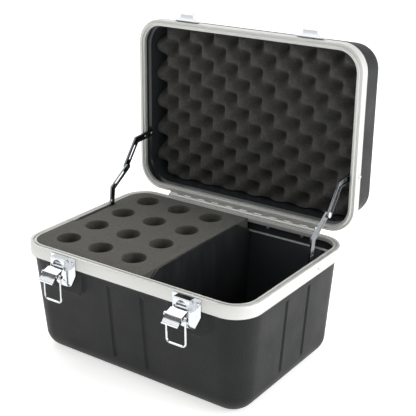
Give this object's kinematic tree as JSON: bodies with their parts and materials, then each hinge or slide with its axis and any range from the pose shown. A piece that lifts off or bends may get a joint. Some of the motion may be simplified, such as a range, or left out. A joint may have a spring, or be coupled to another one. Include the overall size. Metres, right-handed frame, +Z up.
{
  "type": "microphone case",
  "caption": "Hinged hard case for microphones: black moulded shells with aluminium rims, chrome draw latches, folding lid stays, a holed foam insert and egg-crate foam in the lid.",
  "frame": {"origin": "centre of the base's flat underside, where the case stands", "axes": "+Z up; -Y out of the front, where the latches are; +Y towards the hinge; +X to the right seen from the front, so the foam with the holes is at -X; the lid is modelled open"},
  "size_m": [0.4092, 0.4404, 0.4824],
  "materials": {
    "textured_black_abs": "charcoal black ABS moulding with a fine leather-grain texture",
    "matt_aluminium": "satin extruded aluminium with fine lengthwise lines",
    "bright_chrome": "bright nickel-chrome plated pressed steel",
    "plated_steel": "darker plated pressed steel with bright worn edges",
    "grey_foam": "open-cell grey polyether foam, cut faces",
    "egg_crate_foam": "dark convoluted open-cell foam",
    "black_panel": "black panel with a slight gloss",
    "black_grip": "black moulded grip, fine matt texture"
  },
  "bodies": {
    "base": {"base_shell": "textured_black_abs", "base_rim": "matt_aluminium", "foam_block": "grey_foam", "foam_floor_pad": "grey_foam", "divider_panel": "black_panel", "hinge_leaf_base": "matt_aluminium", "hinge_pin": "matt_aluminium", "latch_plate_L": "bright_chrome", "lever_pin_L": "bright_chrome", "stay_base_rivet_L": "plated_steel", "latch_plate_R": "bright_chrome", "lever_pin_R": "bright_chrome", "stay_base_rivet_R": "plated_steel"},
    "lid": {"lid_shell": "textured_black_abs", "lid_rim": "matt_aluminium", "lid_foam": "egg_crate_foam", "hinge_leaf_lid": "matt_aluminium", "keeper_L": "bright_chrome", "keeper_R": "bright_chrome", "handle_bracket_L": "bright_chrome", "handle_bracket_R": "bright_chrome", "handle_pin_L": "bright_chrome", "handle_pin_R": "bright_chrome", "stay_lid_rivet_L": "plated_steel", "stay_lid_rivet_R": "plated_steel"},
    "handle": {"handle_grip": "black_grip"},
    "stay_lower_L": {"stay_lower_L": "plated_steel"},
    "stay_upper_L": {"stay_upper_L": "plated_steel", "stay_elbow_rivet_L": "plated_steel"},
    "latch_lever_L": {"latch_lever_L": "bright_chrome", "bail_pin_L": "bright_chrome"},
    "latch_bail_L": {"latch_bail_L": "bright_chrome"},
    "stay_lower_R": {"stay_lower_R": "plated_steel"},
    "stay_upper_R": {"stay_upper_R": "plated_steel", "stay_elbow_rivet_R": "plated_steel"},
    "latch_lever_R": {"latch_lever_R": "bright_chrome", "bail_pin_R": "bright_chrome"},
    "latch_bail_R": {"latch_bail_R": "bright_chrome"}
  },
  "joints": [
    {"name": "lid_hinge", "type": "hinge", "parent": "base", "child": "lid", "pos_m": [0, 0.1485, 0.1775], "axis": [1, 0, 0], "range_deg": [0, 91.1]},
    {"name": "handle_swing", "type": "hinge", "parent": "lid", "child": "handle", "pos_m": [0, 0.25133, 0.32405], "axis": [1, 0, 0], "range_deg": [-1.1, 178.9]},
    {"name": "stay_lower_pivot_L", "type": "hinge", "parent": "base", "child": "stay_lower_L", "pos_m": [-0.188, 0.051, 0.1676], "axis": [1, 0, 0], "range_deg": [0, 113.9]},
    {"name": "stay_upper_pivot_L", "type": "hinge", "parent": "lid", "child": "stay_upper_L", "pos_m": [-0.191, 0.16335, 0.27373], "axis": [1, 0, 0], "range_deg": [-116.8, 0]},
    {"name": "latch_lever_pivot_L", "type": "hinge", "parent": "base", "child": "latch_lever_L", "pos_m": [-0.1115, -0.152, 0.163], "axis": [1, 0, 0], "range_deg": [-25, 64]},
    {"name": "bail_swing_L", "type": "hinge", "parent": "latch_lever_L", "child": "latch_bail_L", "pos_m": [-0.1115, -0.168, 0.156], "axis": [1, 0, 0], "range_deg": [-64, 25]},
    {"name": "stay_lower_pivot_R", "type": "hinge", "parent": "base", "child": "stay_lower_R", "pos_m": [0.188, 0.051, 0.1676], "axis": [1, 0, 0], "range_deg": [0, 113.9]},
    {"name": "stay_upper_pivot_R", "type": "hinge", "parent": "lid", "child": "stay_upper_R", "pos_m": [0.191, 0.16335, 0.27373], "axis": [1, 0, 0], "range_deg": [-116.8, 0]},
    {"name": "latch_lever_pivot_R", "type": "hinge", "parent": "base", "child": "latch_lever_R", "pos_m": [0.1115, -0.152, 0.163], "axis": [1, 0, 0], "range_deg": [-25, 64]},
    {"name": "bail_swing_R", "type": "hinge", "parent": "latch_lever_R", "child": "latch_bail_R", "pos_m": [0.1115, -0.168, 0.156], "axis": [1, 0, 0], "range_deg": [-64, 25]}
  ],
  "couplings": [
    {"joint": "stay_lower_pivot_L", "follows": "lid_hinge", "ratio": 1.2492},
    {"joint": "stay_upper_pivot_L", "follows": "lid_hinge", "ratio": -1.2803},
    {"joint": "bail_swing_L", "follows": "latch_lever_pivot_L", "ratio": -1},
    {"joint": "stay_lower_pivot_R", "follows": "lid_hinge", "ratio": 1.2492},
    {"joint": "stay_upper_pivot_R", "follows": "lid_hinge", "ratio": -1.2803},
    {"joint": "bail_swing_R", "follows": "latch_lever_pivot_R", "ratio": -1}
  ]
}
